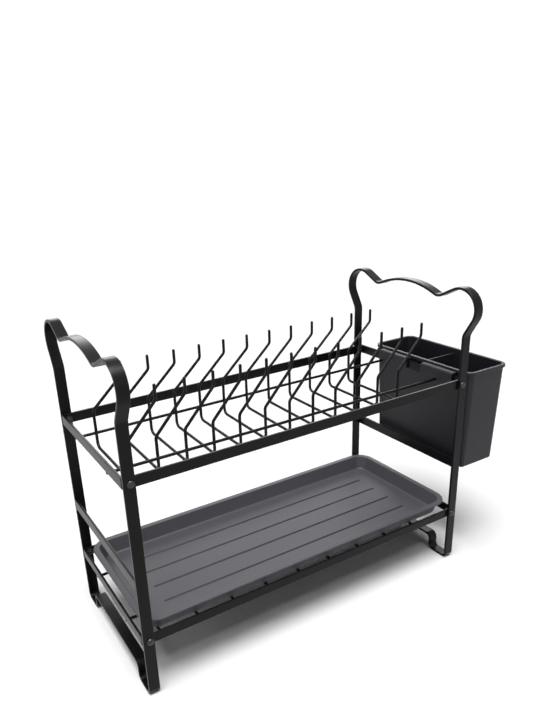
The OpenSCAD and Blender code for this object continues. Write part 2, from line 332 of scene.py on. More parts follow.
class Recipe:
    """A Geometry Nodes tree with named inputs, ending in Realize Instances and Set Material."""

    def __init__(self, name: str) -> None:
        """Starts the tree with its geometry and material inputs."""
        self.tree = bpy.data.node_groups.new(name, "GeometryNodeTree")
        self.identifiers: dict[str, str] = {}
        self.entry = self.tree.nodes.new("NodeGroupInput")
        self.exit = self.tree.nodes.new("NodeGroupOutput")
        self.tree.interface.new_socket(
            name="Geometry", in_out="OUTPUT", socket_type="NodeSocketGeometry"
        )
        self.shape = self.input("Shape", "NodeSocketGeometry")
        self.finish = self.input("Finish", "NodeSocketMaterial")

    def input(self, name: str, kind: str = "NodeSocketFloat") -> bpy.types.NodeSocket:
        """Adds a named input.

        Args:
            name: its name, a size or count in a maker's words.
            kind: its socket type.

        Returns:
            The socket to link from.
        """
        item = self.tree.interface.new_socket(name=name, in_out="INPUT", socket_type=kind)
        self.identifiers[name] = item.identifier
        return next(s for s in self.entry.outputs if s.identifier == item.identifier)

    def node(self, kind: str, settings: dict[str, Any], sockets: dict[Any, Any]) -> bpy.types.Node:
        """Adds one node, as add_node does."""
        return add_node(self.tree, kind, settings, sockets)

    def out(
        self, kind: str, settings: dict[str, Any], sockets: dict[Any, Any]
    ) -> bpy.types.NodeSocket:
        """Adds one node and returns its first output."""
        return self.node(kind, settings, sockets).outputs[0]

    def row(self, count: Any, start: Any, step: Any) -> bpy.types.NodeSocket:
        """Points in a straight row.

        Args:
            count: how many.
            start: place of the first.
            step: way from one to the next.

        Returns:
            The points.
        """
        return self.out(
            "GeometryNodeMeshLine",
            {"mode": "OFFSET"},
            {"Count": count, "Start Location": start, "Offset": step},
        )

    def repeat(self, points: Any, shape: Any) -> bpy.types.NodeSocket:
        """Puts the shape on every point."""
        return self.out("GeometryNodeInstanceOnPoints", {}, {"Points": points, "Instance": shape})

    def realized(self, shape: Any) -> bpy.types.NodeSocket:
        """Turns instances into mesh."""
        return self.out("GeometryNodeRealizeInstances", {}, {"Geometry": shape})

    def marked(self, shape: Any, name: str, value: float) -> bpy.types.NodeSocket:
        """Gives every face of a shape a named value, for a finish to read.

        Args:
            shape: the shape.
            name: the mark's name.
            value: its value.

        Returns:
            The marked shape.
        """
        return self.out(
            "GeometryNodeStoreNamedAttribute",
            {"data_type": "FLOAT", "domain": "FACE"},
            {"Geometry": shape, "Name": name, "Value": value},
        )

    def close(self, shape: Any) -> "Recipe":
        """Ends the tree.

        Args:
            shape: the finished geometry.

        Returns:
            The recipe itself.
        """
        painted = self.out(
            "GeometryNodeSetMaterial",
            {},
            {"Geometry": self.realized(shape), "Material": self.finish},
        )
        self.tree.links.new(painted, self.exit.inputs[0])
        return self

    def make(
        self, name: str, base: bpy.types.Mesh, finish: bpy.types.Material, **sizes: Any
    ) -> bpy.types.Object:
        """Runs the recipe on a mesh and keeps the result as a plain mesh object.

        Args:
            name: the piece's name.
            base: the mesh that the tree starts from.
            finish: the material.
            sizes: the named inputs, with underscores for spaces.

        Returns:
            The piece, at the origin, with no modifiers.
        """
        piece = in_scene(name, base)
        modifier = piece.modifiers.new("Recipe", "NODES")
        modifier.node_group = self.tree
        modifier[self.identifiers["Finish"]] = finish
        for key, value in sizes.items():
            modifier[self.identifiers[key.replace("_", " ")]] = value
        bake(piece)
        return piece


def in_scene(name: str, data: Any) -> bpy.types.Object:
    """Puts a mesh, a light or a camera in the scene.

    Args:
        name: the object's name.
        data: what it shows.

    Returns:
        The object, at the origin.
    """
    item = bpy.data.objects.new(name, data)
    bpy.context.scene.collection.objects.link(item)
    return item


def bake(piece: bpy.types.Object) -> None:
    """Replaces an object's mesh with its evaluated one and drops its modifiers."""
    bpy.context.view_layer.update()
    result = bpy.data.meshes.new_from_object(
        piece.evaluated_get(bpy.context.evaluated_depsgraph_get())
    )
    piece.modifiers.clear()
    piece.data = result
    result.name = piece.name


# ---------------------------------------------------------------------------------------
# Mesh helpers


def polyline(points: Iterable[Sequence[float]], closed: bool = False) -> bpy.types.Mesh:
    """Makes a mesh of edges only, for a recipe to follow.

    Args:
        points: the corners, in order.
        closed: whether the last joins the first.

    Returns:
        The mesh.
    """
    corners = [tuple(p) for p in points]
    edges = [(i, i + 1) for i in range(len(corners) - 1)]
    if closed:
        edges.append((len(corners) - 1, 0))
    mesh = bpy.data.meshes.new("route")
    mesh.from_pydata(corners, edges, [])
    return mesh


def rounded_rectangle(
    half_x: float, half_y: float, corner: float, z: float, centre: Vector, steps: int = 10
) -> list[Vector]:
    """Points round a rectangle with round corners.

    Args:
        half_x: half its length along X.
        half_y: half its length along Y.
        corner: corner radius.
        z: its height.
        centre: its middle.
        steps: stretches in each corner.

    Returns:
        The points, anticlockwise from above.
    """
    corner = max(corner, LEAST_CORNER)
    points = []
    for quarter, (sx, sy) in enumerate(((1, 1), (-1, 1), (-1, -1), (1, -1))):
        for i in range(steps + 1):
            angle = (quarter + i / steps) * math.pi / 2
            x = centre.x + sx * (half_x - corner) + corner * math.cos(angle)
            y = centre.y + sy * (half_y - corner) + corner * math.sin(angle)
            points.append(Vector((x, y, z)))
    return points


def lofted(name: str, rings: Sequence[Sequence[Vector]]) -> bpy.types.Mesh:
    """Joins rings of equal count into a skin that is closed at both ends.

    Args:
        name: the mesh's name.
        rings: rings in order, from one end to the other.

    Returns:
        The mesh, with its faces outwards.
    """
    shell = bmesh.new()
    rows = [[shell.verts.new(point) for point in ring] for ring in rings]
    for low, high in zip(rows, rows[1:]):
        for i in range(len(low)):
            j = (i + 1) % len(low)
            shell.faces.new((low[i], low[j], high[j], high[i]))
    shell.faces.new(list(reversed(rows[0])))
    shell.faces.new(rows[-1])
    bmesh.ops.recalc_face_normals(shell, faces=shell.faces[:])
    mesh = bpy.data.meshes.new(name)
    shell.to_mesh(mesh)
    shell.free()
    return mesh


def moulded_shell(
    name: str, low: Vector, high: Vector, corner: float, stations: Iterable[tuple[float, float]]
) -> bpy.types.Mesh:
    """Lofts an open container through rings with round corners.

    Args:
        name: the mesh's name.
        low: lowest corner of the container, where no ring is inset.
        high: highest corner.
        corner: radius of its upright corners there.
        stations: inset and height of each ring, from the underside round the rim to the floor.

    Returns:
        The shell.
    """
    half_x = (high.x - low.x) / 2
    half_y = (high.y - low.y) / 2
    centre = (low + high) / 2
    rings = [
        rounded_rectangle(half_x - inset, half_y - inset, corner - inset, low.z + z, centre)
        for inset, z in stations
    ]
    return lofted(name, rings)


def turned(name: str, profile: Sequence[tuple[float, float]], steps: int = 32) -> bpy.types.Mesh:
    """Spins a profile of radius and depth about the Y axis.

    Args:
        name: the mesh's name.
        profile: radius and place along Y of each ring, from one tip to the other.
        steps: faces round the axis.

    Returns:
        The closed mesh.
    """
    rings = []
    for width, along in profile:
        radius = max(width, LEAST_TIP)
        ring = []
        for i in range(steps):
            angle = 2 * math.pi * i / steps
            ring.append(Vector((radius * math.cos(angle), along, radius * math.sin(angle))))
        rings.append(ring)
    return lofted(name, rings)


def arc(
    centre: tuple[float, float], radius: float, start: float, end: float, steps: int = 4
) -> list[tuple[float, float]]:
    """Points along an arc in a profile.

    Args:
        centre: middle of the arc.
        radius: its radius.
        start: first angle, in degrees.
        end: last angle, in degrees.
        steps: stretches along it.

    Returns:
        The points, both ends included.
    """
    points = []
    for i in range(steps + 1):
        angle = math.radians(start + (end - start) * i / steps)
        points.append(
            (centre[0] + radius * math.cos(angle), centre[1] + radius * math.sin(angle))
        )
    return points


def shade(piece: bpy.types.Object, sharp_degrees: float = 35.0) -> bpy.types.Object:
    """Shades a piece smooth, with its flat faces kept flat.

    Args:
        piece: the object.
        sharp_degrees: edges that turn by more stay sharp.

    Returns:
        The same object.
    """
    mesh = piece.data
    mesh.polygons.foreach_set("use_smooth", [True] * len(mesh.polygons))
    mesh.set_sharp_from_angle(angle=math.radians(sharp_degrees))
    weigh = piece.modifiers.new("Flat faces", "WEIGHTED_NORMAL")
    weigh.keep_sharp = True
    bake(piece)
    return piece


def settle(
    piece: bpy.types.Object, body: str, nodes: Iterable[str]
) -> bpy.types.Object:
    """Makes a piece ride on its body in place of its CAD nodes.

    Args:
        piece: the finished object.
        body: the body it moves with.
        nodes: the CAD nodes that it stands for.

    Returns:
        The same object.
    """
    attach(piece, body)
    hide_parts(*nodes)
    LOG.info("%s: %d faces", piece.name, len(piece.data.polygons))
    return piece


# ---------------------------------------------------------------------------------------
# Finishes


@dataclass(frozen=True)
class PowderCoat:
    """Satin black powder coat: orange peel, cloudy sheen and a few rubbed, lighter streaks."""

    name: str
    deep: Colour = (0.0024, 0.0023, 0.0028)
    worn: Colour = (0.0090, 0.0087, 0.0100)
    roughness: float = 0.27
    peel_per_metre: float = 620.0
    peel_depth: float = 0.00006

    def material(self) -> bpy.types.Material:
        """Builds the material."""
        paint = Shader(self.name, Specular_IOR_Level=0.13, IOR=1.5)
        cloud = paint.noise(22.0, detail=3.0)
        speck = paint.ramp(paint.noise(1500.0, detail=1.0), (0.62, 0.0), (0.75, 1.0))
        rub = paint.ramp(paint.noise(48.0, detail=6.0, rough=0.65), (0.56, 0.0), (0.74, 1.0))
        peel = paint.noise(self.peel_per_metre, detail=2.0)
        tone = paint.blend(cloud * 0.45 + rub * 0.4 + speck * 0.15, self.deep, self.worn)
        paint.feed(
            Base_Color=tone,
            Roughness=self.roughness + cloud * 0.07 + rub * 0.06 - speck * 0.03,
            Normal=paint.bump(peel + speck * 0.25, self.peel_depth, 0.55),
        )
        return paint.material


@dataclass(frozen=True)
class MouldedPlastic:
    """Injection-moulded plastic: spark-eroded grain, faint flow marks, cloudy gloss and painted
    shade on the faces that a cut leaves.
    """

    name: str
    light: Colour
    dark: Colour
    # Painted shade: the colour of the cut faces in grooves and drain slots, darker as if shade
    # fell there.
    painted_recess_shade: Colour
    roughness: float
    shine: float
    grain_per_metre: float
    grain_depth: float
    flow_per_metre: Sequence[float]

    def material(self) -> bpy.types.Material:
        """Builds the material."""
        plastic = Shader(self.name, Specular_IOR_Level=self.shine, IOR=1.49)
        cloud = plastic.noise(9.0, detail=3.0)
        flow = plastic.stretched_noise(self.flow_per_metre, detail=3.0)
        grain = plastic.cells(self.grain_per_metre)
        fine = plastic.noise(self.grain_per_metre * 0.6, detail=2.0)
        tone = plastic.blend(cloud * 0.5 + flow * 0.35 + grain * 0.25, self.dark, self.light)
        plastic.feed(
            # Cut faces, in the tray's grooves and the cup's drain slots, get the painted shade
            # colour.
            Base_Color=plastic.blend(plastic.mark(CUT_MARK), tone, self.painted_recess_shade),
            Roughness=self.roughness + cloud * 0.08 - flow * 0.06 + grain * 0.05,
            Normal=plastic.bump(grain * 0.7 + fine * 0.6, self.grain_depth, 0.6),
        )
        return plastic.material


@dataclass(frozen=True)
class BlackenedSteel:
    """Black-plated screws and nuts: thin dark film over turned steel."""

    name: str
    film: Colour = (0.012, 0.012, 0.014)
    bare: Colour = (0.028, 0.028, 0.031)

    def material(self) -> bpy.types.Material:
        """Builds the material."""
        steel = Shader(self.name, Specular_IOR_Level=0.5)
        wear = steel.ramp(steel.noise(420.0, detail=5.0, rough=0.7), (0.5, 0.0), (0.72, 1.0))
        turning = steel.stretched_noise((2600.0, 500.0, 2600.0), detail=1.0)
        steel.feed(
            Base_Color=steel.blend(wear * 0.5, self.film, self.bare),
            Metallic=0.15 + wear * 0.4,
            Roughness=0.32 + turning * 0.14,
            Normal=steel.bump(turning, 0.00003, 0.5),
        )
        return steel.material


@dataclass(frozen=True)
class StudioFloor:
    """White paper floor of the studio."""

    name: str = "studio_floor"

    def material(self) -> bpy.types.Material:
        """Builds the material."""
        paper = Shader(self.name, Specular_IOR_Level=0.1, Roughness=0.9)
        tooth = paper.noise(14.0, detail=4.0)
        paper.feed(Base_Color=paper.blend(tooth, (0.86, 0.86, 0.865), (0.90, 0.90, 0.90)))
        return paper.material


class Finishes:
    """The rack's finishes, made once and shared by its pieces."""

    def __init__(self) -> None:
        """Builds every material."""
        self.strip = PowderCoat("strip_coating").material()
        self.wire = PowderCoat(
            "wire_coating", roughness=0.30, peel_per_metre=900.0, peel_depth=0.00004
        ).material()
        self.tray = MouldedPlastic(
            "tray_plastic",
            light=(0.080, 0.077, 0.089),
            dark=(0.051, 0.049, 0.058),
            # Painted shade in the tray's grooves.
            painted_recess_shade=(0.016, 0.0153, 0.018),
            roughness=0.46,
            shine=0.24,
            grain_per_metre=1300.0,
            grain_depth=0.00005,
            flow_per_metre=(5.0, 26.0, 26.0),
        ).material()
        self.cup = MouldedPlastic(
            "cup_plastic",
            light=(0.0190, 0.0182, 0.0240),
            dark=(0.0105, 0.0098, 0.0140),
            # Painted shade in the cup's drain slots.
            painted_recess_shade=(0.004, 0.0038, 0.0046),
            roughness=0.40,
            shine=0.22,
            grain_per_metre=1500.0,
            grain_depth=0.00004,
            flow_per_metre=(24.0, 24.0, 6.0),
        ).material()
        self.screws = BlackenedSteel("black_hardware").material()


# ---------------------------------------------------------------------------------------
# Recipes


def strip_recipe() -> Recipe:
    """Flat strip with rounded edges that follows a route.

    Returns:
        The recipe, with inputs for the strip's section, its width axis and its corners.
    """
    recipe = Recipe("Flat strip")
    width = recipe.input("Strip Width")
    thickness = recipe.input("Strip Thickness")
    edge = recipe.input("Edge Radius")
    bend = recipe.input("Bend Radius")
    way = recipe.input("Width Axis", "NodeSocketVector")
    bend_steps, edge_steps = 6, 3
    route = recipe.out("GeometryNodeMeshToCurve", {}, {"Mesh": recipe.shape})
    soft = recipe.out(
        "GeometryNodeFilletCurve",
        {"mode": "POLY"},
        {"Curve": route, "Radius": bend, "Count": bend_steps},
    )
    level = recipe.out(
        "GeometryNodeSetCurveNormal", {"mode": "FREE"}, {"Curve": soft, "Normal": way}
    )
    section = recipe.out(
        "GeometryNodeCurvePrimitiveQuadrilateral", {}, {"Width": width, "Height": thickness}
    )
    eased = recipe.out(
        "GeometryNodeFilletCurve",
        {"mode": "POLY"},
        {"Curve": section, "Radius": edge, "Count": edge_steps},
    )
    swept = recipe.out(
        "GeometryNodeCurveToMesh", {}, {"Curve": level, "Profile Curve": eased, "Fill Caps": True}
    )
    return recipe.close(swept)


def wire_recipe() -> Recipe:
    """Round wire with bends and rounded tips, repeated in a row.

    Returns:
        The recipe, with inputs for the wire, its bends, its tips and the row.
    """
    recipe = Recipe("Bent wire row")
    radius = recipe.input("Wire Radius")
    bend = recipe.input("Bend Radius")
    count = recipe.input("Wire Count", "NodeSocketInt")
    pitch = recipe.input("Wire Pitch", "NodeSocketVector")
    bend_steps, faces_round, bead_rings = 7, 18, 10
    route = recipe.out("GeometryNodeMeshToCurve", {}, {"Mesh": recipe.shape})
    soft = recipe.out(
        "GeometryNodeFilletCurve",
        {"mode": "POLY"},
        {"Curve": route, "Radius": bend, "Count": bend_steps},
    )
    section = recipe.out(
        "GeometryNodeCurvePrimitiveCircle", {}, {"Resolution": faces_round, "Radius": radius}
    )
    swept = recipe.out(
        "GeometryNodeCurveToMesh", {}, {"Curve": soft, "Profile Curve": section, "Fill Caps": True}
    )
    ends = recipe.out("GeometryNodeCurveEndpointSelection", {}, {})
    bead = recipe.out(
        "GeometryNodeMeshUVSphere",
        {},
        {"Segments": faces_round, "Rings": bead_rings, "Radius": radius},
    )
    tips = recipe.out(
        "GeometryNodeInstanceOnPoints", {}, {"Points": soft, "Selection": ends, "Instance": bead}
    )
    wire = recipe.out("GeometryNodeJoinGeometry", {}, {"Geometry": [swept, tips]})
    start = recipe.row(count, ZERO, pitch)
    return recipe.close(recipe.repeat(start, recipe.realized(wire)))


def grid_recipe() -> Recipe:
    """The given shape repeated in rows and columns.

    Returns:
        The recipe, with inputs for the first place, the row and the column.
    """
    recipe = Recipe("Rows and columns")
    first = recipe.input("First Place", "NodeSocketVector")
    count = recipe.input("Row Count", "NodeSocketInt")
    step = recipe.input("Row Step", "NodeSocketVector")
    lines = recipe.input("Column Count", "NodeSocketInt")
    across = recipe.input("Column Step", "NodeSocketVector")
    row = recipe.repeat(recipe.row(count, first, step), recipe.shape)
    columns = recipe.row(lines, ZERO, across)
    return recipe.close(recipe.repeat(columns, row))


def corner_recipe() -> Recipe:
    """The given fastener at the four corners of each shelf, pointing inwards.

    Returns:
        The recipe, with inputs for the rack's middle, the corner spacing and the shelves.
    """
    recipe = Recipe("Corner fasteners")
    centre = recipe.input("Rack Middle", "NodeSocketVector")
    left = recipe.input("Left Front", "NodeSocketVector")
    apart = recipe.input("Side Spacing", "NodeSocketVector")
    levels = recipe.input("Shelf Count", "NodeSocketInt")
    rise = recipe.input("Shelf Spacing", "NodeSocketVector")
    front = recipe.repeat(recipe.row(2, left, apart), recipe.shape)
    rear = recipe.out(
        "GeometryNodeTransform", {}, {"Geometry": front, "Rotation": (0.0, 0.0, math.pi)}
    )
    both = recipe.out("GeometryNodeJoinGeometry", {}, {"Geometry": [front, rear]})
    shelves = recipe.repeat(recipe.row(levels, centre, rise), both)
    return recipe.close(shelves)


def cut_recipe() -> Recipe:
    """Cuts a row of the same cutter out of the given shape, marking the faces that the cut leaves
    for painted shade.

    Returns:
        The recipe, with inputs for the cutter and its rows and columns.
    """
    recipe = Recipe("Row of cuts")
    cutter = recipe.input("Cutter", "NodeSocketObject")
    first = recipe.input("First Place", "NodeSocketVector")
    count = recipe.input("Cut Count", "NodeSocketInt")
    step = recipe.input("Cut Step", "NodeSocketVector")
    lines = recipe.input("Row Count", "NodeSocketInt")
    across = recipe.input("Row Step", "NodeSocketVector")
    tool = recipe.node("GeometryNodeObjectInfo", {}, {"Object": cutter}).outputs["Geometry"]
    row = recipe.repeat(recipe.row(count, first, step), tool)
    rows = recipe.repeat(recipe.row(lines, ZERO, across), row)
    cut = recipe.out(
        "GeometryNodeMeshBoolean",
        {"operation": "DIFFERENCE", "solver": "EXACT"},
        {
            "Mesh 1": recipe.marked(recipe.shape, CUT_MARK, 0.0),
            "Mesh 2": recipe.marked(recipe.realized(rows), CUT_MARK, 1.0),
        },
    )
    return recipe.close(cut)


class Recipes:
    """The Geometry Nodes trees, each made once."""

    def __init__(self) -> None:
        """Builds every tree."""
        self.strip = strip_recipe()
        self.wire = wire_recipe()
        self.grid = grid_recipe()
        self.corners = corner_recipe()
        self.cuts = cut_recipe()

    def cut(
        self,
        name: str,
        base: bpy.types.Mesh,
        finish: bpy.types.Material,
        cutter: bpy.types.Mesh,
        first: Sequence[float] = ZERO,
        count: int = 1,
        step: Sequence[float] = ZERO,
        rows: int = 1,
        across: Sequence[float] = ZERO,
    ) -> bpy.types.Object:
        """Cuts rows of one cutter out of a mesh.

        Args:
            name: the piece's name.
            base: the mesh that is cut.
            finish: the material.
            cutter: the cutter, round the origin.
            first: place of the first cut.
            count: cuts in a row.
            step: way from one cut to the next.
            rows: number of rows.
            across: way from one row to the next.

        Returns:
            The cut piece.
        """
        tool = in_scene(cutter.name, cutter)
        piece = self.cuts.make(
            name,
            base,
            finish,
            Cutter=tool,
            First_Place=tuple(first),
            Cut_Count=count,
            Cut_Step=step,
            Row_Count=rows,
            Row_Step=across,
        )
        bpy.data.objects.remove(tool)
        return piece


@dataclass
class Workshop:
    """What every sub-assembly is made with."""

    finishes: Finishes = field(default_factory=Finishes)
    recipes: Recipes = field(default_factory=Recipes)


# ---------------------------------------------------------------------------------------
# Sub-assemblies


@dataclass(frozen=True)
class Bend:
    """A bend of the side frame's outline at mid thickness; radius below 0 turns left."""

    y: float
    z: float
    radius: float


@dataclass
class SideFrame:
    """One bent flat-steel side: feet, legs, ears and the arched top."""

    shop: Workshop
    node: str
    strip_thickness: float = 3.0 * MM
    edge_radius: float = 0.55 * MM
    foot_run: float = 28.0 * MM
    foot_rise: float = 20.0 * MM
    foot_bend: float = 6.0 * MM
    ear_radius: float = 24.0 * MM
    neck_drop: float = 33.0 * MM
    neck_radius: float = 14.0 * MM
    notch_inset: float = 43.5 * MM
    notch_depth: float = 12.5 * MM
    notch_radius: float = 12.0 * MM
    crown_rise: float = 10.5 * MM
    step_degrees: float = 4.0

    def __post_init__(self) -> None:
        """Takes the legs' place from the cross bar that stands between them."""
        self.low, self.high = span(self.node)
        bar_low, bar_high = span("left_crossbar")
        self.front = bar_low.y - self.strip_thickness
        self.depth = bar_high.y - bar_low.y + 2 * self.strip_thickness

    def bends(self) -> list[Bend]:
        """Works out the outline's bends.

        Returns:
            The bends in order, up the front leg and down the rear one.
        """
        half = self.strip_thickness / 2
        top = self.high.z
        overhang = self.front - self.low.y
        neck_z = top - self.ear_radius - self.neck_drop
        notch_z = top - self.notch_depth - half
        head_half = self.depth / 2 - self.notch_inset
        sagitta = (head_half**2 + self.crown_rise**2) / (2 * self.crown_rise)
        head_radius = sagitta - self.notch_radius
        foot = half + self.foot_bend
        front = [
            Bend(foot, foot, self.foot_bend),
            Bend(half - self.neck_radius, neck_z, -self.neck_radius),
            Bend(self.ear_radius - overhang, top - self.ear_radius, self.ear_radius - half),
            Bend(self.notch_inset, notch_z + self.notch_radius, -self.notch_radius),
        ]
        head = Bend(self.depth / 2, notch_z + self.crown_rise - head_radius, head_radius)
        feet = [
            Bend(self.foot_run + self.foot_bend, self.foot_rise - self.foot_bend, -self.foot_bend),
            Bend(self.foot_run - self.foot_bend, foot, self.foot_bend),
        ]
        return [*front, head, *self.mirrored(front), *self.mirrored(feet), *feet]

    def mirrored(self, bends: Sequence[Bend]) -> list[Bend]:
        """The same bends at the rear, in reverse order."""
        return [Bend(self.depth - b.y, b.z, b.radius) for b in reversed(bends)]

    @staticmethod
    def heading(a: Bend, b: Bend) -> float:
        """Direction of the straight from one bend to the next, in radians."""
        dy, dz, dr = b.y - a.y, b.z - a.z, b.radius - a.radius
        return math.atan2(dz, dy) + math.atan2(dr, math.sqrt(dy * dy + dz * dz - dr * dr))

    def route(self) -> list[Vector]:
        """Points along the outline at mid thickness."""
        bends = self.bends()
        x = (self.low.x + self.high.x) / 2
        full = 2 * math.pi
        points = []
        for i, bend in enumerate(bends):
            start = self.heading(bends[i - 1], bend)
            end = self.heading(bend, bends[(i + 1) % len(bends)])
            sweep = -((start - end) % full) if bend.radius > 0 else (end - start) % full
            steps = max(2, math.ceil(abs(sweep) / math.radians(self.step_degrees)))
            for k in range(steps + 1):
                angle = start + sweep * k / steps
                y = self.front + bend.y - bend.radius * math.sin(angle)
                points.append(Vector((x, y, bend.z + bend.radius * math.cos(angle))))
        return points

    def build(self) -> bpy.types.Object:
        """Builds the side frame as one piece."""
        piece = self.shop.recipes.strip.make(
            "side_frame_" + self.node.split("_")[0],
            polyline(self.route(), closed=True),
            self.shop.finishes.strip,
            Strip_Width=self.high.x - self.low.x,
            Strip_Thickness=self.strip_thickness,
            Edge_Radius=self.edge_radius,
            Bend_Radius=0.0,
            Width_Axis=Axis.X.value,
        )
        return settle(shade(piece), RACK, [self.node])


@dataclass
class Rails:
    """The flat rails: the cross bars and the two shelf rims."""

    shop: Workshop
    thickness: float = 2.5 * MM
    edge_radius: float = 0.5 * MM
    corner_radius: float = 3.5 * MM

    def strip(
        self, node: str, route: bpy.types.Mesh, bend: float, width: float
    ) -> bpy.types.Object:
        """Sweeps one rail.

        Args:
            node: the CAD node that it stands for.
            route: its route at mid thickness.
            bend: radius of its corners at mid thickness.
            width: its height.

        Returns:
            The rail.
        """
        piece = self.shop.recipes.strip.make(
            node + "_coated",
            route,
            self.shop.finishes.strip,
            Strip_Width=width,
            Strip_Thickness=self.thickness,
            Edge_Radius=self.edge_radius,
            Bend_Radius=bend,
            Width_Axis=Axis.Z.value,
        )
        return settle(shade(piece), RACK, [node])

    def cross_bar(self, node: str) -> bpy.types.Object:
        """Builds the bar between the legs of one side."""
        low, high = span(node)
        centre = (low + high) / 2
        route = polyline([(centre.x, low.y, centre.z), (centre.x, high.y, centre.z)])
        return self.strip(node, route, 0.0, high.z - low.z)

    def rim(self, node: str) -> bpy.types.Object:
        """Builds the rail round one shelf."""
        low, high = span(node)
        half = self.thickness / 2
        z = (low.z + high.z) / 2
        left, right = low.x + half, high.x - half
        front, rear = low.y + half, high.y - half
        middle_x = (left + right) / 2
        around = [(middle_x, front), (right, front), (right, rear), (left, rear), (left, front)]
        route = polyline([(x, y, z) for x, y in around], closed=True)
        return self.strip(node, route, self.corner_radius - half, high.z - low.z)

    def build(self) -> list[bpy.types.Object]:
        """Builds the cross bars and the rims."""
        bars = [self.cross_bar(node) for node in ("left_crossbar", "right_crossbar")]
        rims = [self.rim(node) for node in ("upper_shelf_rim", "lower_shelf_rim")]
        return bars + rims


@dataclass
class WireShelf:
    """Round wires of both shelves, with the weld spots where they cross."""

    shop: Workshop
    bend_radius: float = 6.0 * MM
    front_upright: float = 35.5 * MM
    rear_upright: float = 41.0 * MM
    slant_top: float = 72.5 * MM
    weld_radius: float = 1.55 * MM
    weld_height: float = 0.9 * MM
    weld_tip_degrees: float = 84.0

    def __post_init__(self) -> None:
        """Takes the wires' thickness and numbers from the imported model."""
        low, high = span("upper_front_rod")
        self.wire_d = high.z - low.z
        self.plates = sorted(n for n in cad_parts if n.startswith("plate_wire_"))
        self.trays = sorted(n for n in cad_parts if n.startswith("tray_wire_"))

    def pitch(self, nodes: Sequence[str]) -> Vector:
        """Way from one wire of a row to the next."""
        return (middle(nodes[-1]) - middle(nodes[0])) / (len(nodes) - 1)

    def wires(
        self, name: str, corners: list[Sequence[float]], nodes: Sequence[str], step: Vector
    ) -> bpy.types.Object:
        """Builds a row of equal wires.

        Args:
            name: the piece's name.
            corners: the first wire's corners.
            nodes: the CAD nodes that the row stands for.
            step: way from one wire to the next.

        Returns:
            The row as one piece.
        """
        piece = self.shop.recipes.wire.make(
            name,
            polyline(corners),
            self.shop.finishes.wire,
            Wire_Radius=self.wire_d / 2,
            Bend_Radius=self.bend_radius,
            Wire_Count=len(nodes),
            Wire_Pitch=tuple(step),
        )
        return settle(shade(piece, sharp_degrees=50.0), RACK, nodes)

    def plate_wires(self) -> bpy.types.Object:
        """Builds the wires that hold the plates, with their raised tips."""
        low, high = span(self.plates[0])
        half = self.wire_d / 2
        x, tip_x = low.x + half, high.x - half
        front, rear = low.y + half, high.y - half
        base, tip = low.z + half, high.z - half
        corners = [
            (tip_x, front, tip),
            (tip_x, front, base + self.slant_top),
            (x, front, base + self.front_upright),
            (x, front, base),
            (x, rear, base),
            (x, rear, base + self.rear_upright),
            (tip_x, rear, base + self.slant_top),
            (tip_x, rear, tip),
        ]
        return self.wires("plate_wires", corners, self.plates, self.pitch(self.plates))

    def straight(self, name: str, nodes: Sequence[str], along: int) -> bpy.types.Object:
        """Builds a row of straight wires.

        Args:
            name: the piece's name.
            nodes: the CAD nodes that it stands for.
            along: 0 for wires along X, 1 for wires along Y.

        Returns:
            The row as one piece.
        """
        low, high = span(nodes[0])
        start, end = (low + high) / 2, (low + high) / 2
        start[along] = low[along] + self.wire_d / 2
        end[along] = high[along] - self.wire_d / 2
        return self.wires(name, [tuple(start), tuple(end)], nodes, self.pitch(nodes))

    def welds(self, name: str, rods: Sequence[str], nodes: Sequence[str]) -> bpy.types.Object:
        """Builds the weld spots between two rods and a row of wires.

        Args:
            name: the piece's name.
            rods: the front and the rear rod.
            nodes: the wires, which lie on the rods or against their inner sides.

        Returns:
            The spots as one piece.
        """
        spot = turned(
            name,
            [
                (self.weld_radius * wide, self.weld_height * along)
                for wide, along in arc(
                    (0.0, 0.0), 1.0, -self.weld_tip_degrees, self.weld_tip_degrees, steps=7
                )
            ],
            steps=12,
        )
        front, rear = middle(rods[0]), middle(rods[1])
        low, high = span(nodes[0])
        x = low.x + self.wire_d / 2
        lies_on_rods = high.z - low.z < 2 * self.wire_d
        if lies_on_rods:
            spot.transform(Matrix.Rotation(math.pi / 2, 4, "X"))
            first = Vector((x, front.y, front.z + self.wire_d / 2))
            across = Vector((0.0, rear.y - front.y, 0.0))
        else:
            first = Vector((x, front.y + self.wire_d / 2, front.z))
            across = Vector((0.0, rear.y - front.y - self.wire_d, 0.0))
        piece = self.shop.recipes.grid.make(
            name,
            spot,
            self.shop.finishes.wire,
            First_Place=tuple(first),
            Row_Count=len(nodes),
            Row_Step=tuple(self.pitch(nodes)),
            Column_Count=2,
            Column_Step=tuple(across),
        )
        return settle(shade(piece, sharp_degrees=60.0), RACK, [])

    def build(self) -> list[bpy.types.Object]:
        """Builds the wires of both shelves."""
        upper = ["upper_front_rod", "upper_rear_rod"]
        lower = ["lower_front_rod", "lower_rear_rod"]
        return [
            self.straight("upper_rods", upper, along=0),
            self.straight("lower_rods", lower, along=0),
            self.plate_wires(),
            self.straight("tray_wires", self.trays, along=1),
            self.welds("upper_welds", upper, self.plates),
            self.welds("lower_welds", lower, self.trays),
        ]


